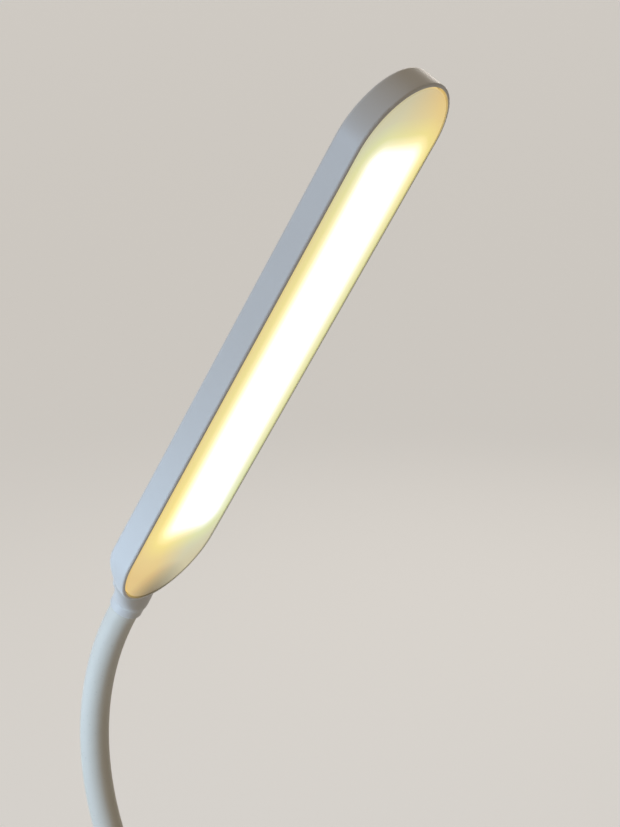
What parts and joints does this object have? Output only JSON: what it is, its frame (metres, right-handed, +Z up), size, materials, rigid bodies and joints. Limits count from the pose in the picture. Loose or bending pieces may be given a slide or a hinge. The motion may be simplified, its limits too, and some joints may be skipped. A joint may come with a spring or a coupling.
{
  "type": "led table lamp",
  "caption": "Table lamp: a slim round-ended LED bar head on a sleeved flexible neck that bends to aim the light, on a round weighted base with a push button and charging socket.",
  "frame": {"origin": "centre of the underside of the foot pad, on the table", "axes": "+Z up, -Y to the front, the side the light leans toward, +X to the lamp's left"},
  "size_m": [0.124, 0.1646, 0.454],
  "materials": {
    "white_plastic": "fine satin moulded ABS",
    "button_plastic": "satin moulded ABS",
    "white_silicone": "smooth satin silicone sleeve",
    "spring_steel": "wound steel wire",
    "opal_diffuser": "opal diffuser, satin",
    "reflector_white": "gloss white moulding",
    "white_soldermask": "white-masked aluminium board",
    "led_phosphor": "phosphor-filled resin",
    "screw_steel": "bright zinc",
    "ballast_steel": "blanked mild steel",
    "turned_brass": "turned brass",
    "foot_rubber": "ribbed anti-slip rubber",
    "foam_tape": "double-sided foam",
    "battery_foil": "laminated pouch foil",
    "circuit_board": "green solder mask",
    "socket_steel": "drawn stainless shell",
    "black_plastic": "moulded black resin",
    "lead_jacket": "soft PVC jacket",
    "lead_red": "soft PVC jacket",
    "clear_lens": "clear moulded light pipe"
  },
  "bodies": {
    "base": {"base_shell": "white_plastic", "base_cover": "white_plastic", "base_collar": "white_plastic", "foot_pad": "foot_rubber", "ballast_plate": "ballast_steel", "cover_screws": "screw_steel", "ballast_screws": "screw_steel", "base_ferrule": "turned_brass", "lock_washer": "screw_steel", "lock_nut": "screw_steel", "battery_cell": "battery_foil", "battery_pad": "foam_tape", "battery_leads": "lead_red", "charge_board": "circuit_board", "charge_board_screws": "screw_steel", "usb_socket": "socket_steel", "usb_tongue": "black_plastic", "driver_leads": "lead_jacket", "board_parts": "black_plastic", "control_board": "circuit_board", "control_board_screws": "screw_steel", "control_cable": "lead_jacket", "tact_switch": "black_plastic", "indicator_lens": "clear_lens", "lead_cable": "lead_jacket", "neck_sleeve_0": "white_silicone", "neck_core_0": "spring_steel"},
    "button": {"power_button": "button_plastic", "switch_plunger": "black_plastic"},
    "link_1": {"neck_sleeve_1": "white_silicone", "neck_core_1": "spring_steel"},
    "link_2": {"neck_sleeve_2": "white_silicone", "neck_core_2": "spring_steel"},
    "link_3": {"neck_sleeve_3": "white_silicone", "neck_core_3": "spring_steel"},
    "link_4": {"neck_sleeve_4": "white_silicone", "neck_core_4": "spring_steel"},
    "link_5": {"neck_sleeve_5": "white_silicone", "neck_core_5": "spring_steel"},
    "link_6": {"neck_sleeve_6": "white_silicone", "neck_core_6": "spring_steel"},
    "link_7": {"neck_sleeve_7": "white_silicone", "neck_core_7": "spring_steel"},
    "link_8": {"neck_sleeve_8": "white_silicone", "neck_core_8": "spring_steel"},
    "head": {"head_housing": "white_plastic", "diffuser": "opal_diffuser", "reflector_tray": "reflector_white", "led_board": "white_soldermask", "led_chips": "led_phosphor", "led_board_screws": "screw_steel", "led_leads": "lead_jacket", "head_ferrule": "turned_brass", "neck_set_screws": "screw_steel", "neck_sleeve_9": "white_silicone", "neck_core_9": "spring_steel"}
  },
  "joints": [
    {"name": "neck_pivot_1", "type": "hinge", "parent": "base", "child": "link_1", "pos_m": [0, 0.038, 0.0374], "axis": [1, 0, 0], "range_deg": [-25, 25], "deforming": ["lead_cable"]},
    {"name": "neck_pivot_2", "type": "hinge", "parent": "link_1", "child": "link_2", "pos_m": [0, 0.04148, 0.0645], "axis": [0, 0.9669, -0.2552], "range_deg": [-25, 25], "deforming": ["lead_cable"]},
    {"name": "neck_pivot_3", "type": "hinge", "parent": "link_2", "child": "link_3", "pos_m": [0, 0.05183, 0.08978], "axis": [1, 0, 0], "range_deg": [-25, 25], "deforming": ["lead_cable"]},
    {"name": "neck_pivot_4", "type": "hinge", "parent": "link_3", "child": "link_4", "pos_m": [0, 0.06552, 0.11351], "axis": [0, 0.866, -0.5], "range_deg": [-25, 25], "deforming": ["lead_cable"]},
    {"name": "neck_pivot_5", "type": "hinge", "parent": "link_4", "child": "link_5", "pos_m": [0, 0.07922, 0.13724], "axis": [1, 0, 0], "range_deg": [-25, 25], "deforming": ["lead_cable"]},
    {"name": "neck_pivot_6", "type": "hinge", "parent": "link_5", "child": "link_6", "pos_m": [0, 0.09127, 0.16179], "axis": [0, 0.9441, -0.3296], "range_deg": [-25, 25], "deforming": ["lead_cable"]},
    {"name": "neck_pivot_7", "type": "hinge", "parent": "link_6", "child": "link_7", "pos_m": [0, 0.09684, 0.18853], "axis": [1, 0, 0], "range_deg": [-25, 25], "deforming": ["lead_cable"]},
    {"name": "neck_pivot_8", "type": "hinge", "parent": "link_7", "child": "link_8", "pos_m": [0, 0.09532, 0.21581], "axis": [0, 0.9828, 0.1849], "range_deg": [-25, 25], "deforming": ["lead_cable"]},
    {"name": "neck_pivot_9", "type": "hinge", "parent": "link_8", "child": "head", "pos_m": [0, 0.08682, 0.24177], "axis": [1, 0, 0], "range_deg": [-25, 25], "deforming": ["lead_cable"]},
    {"name": "button_press", "type": "slide", "parent": "base", "child": "button", "axis": [0, 0, -1], "range_m": [0, 0.0008], "stiffness_N_per_m": 1500, "springref_m": -0.0004}
  ]
}
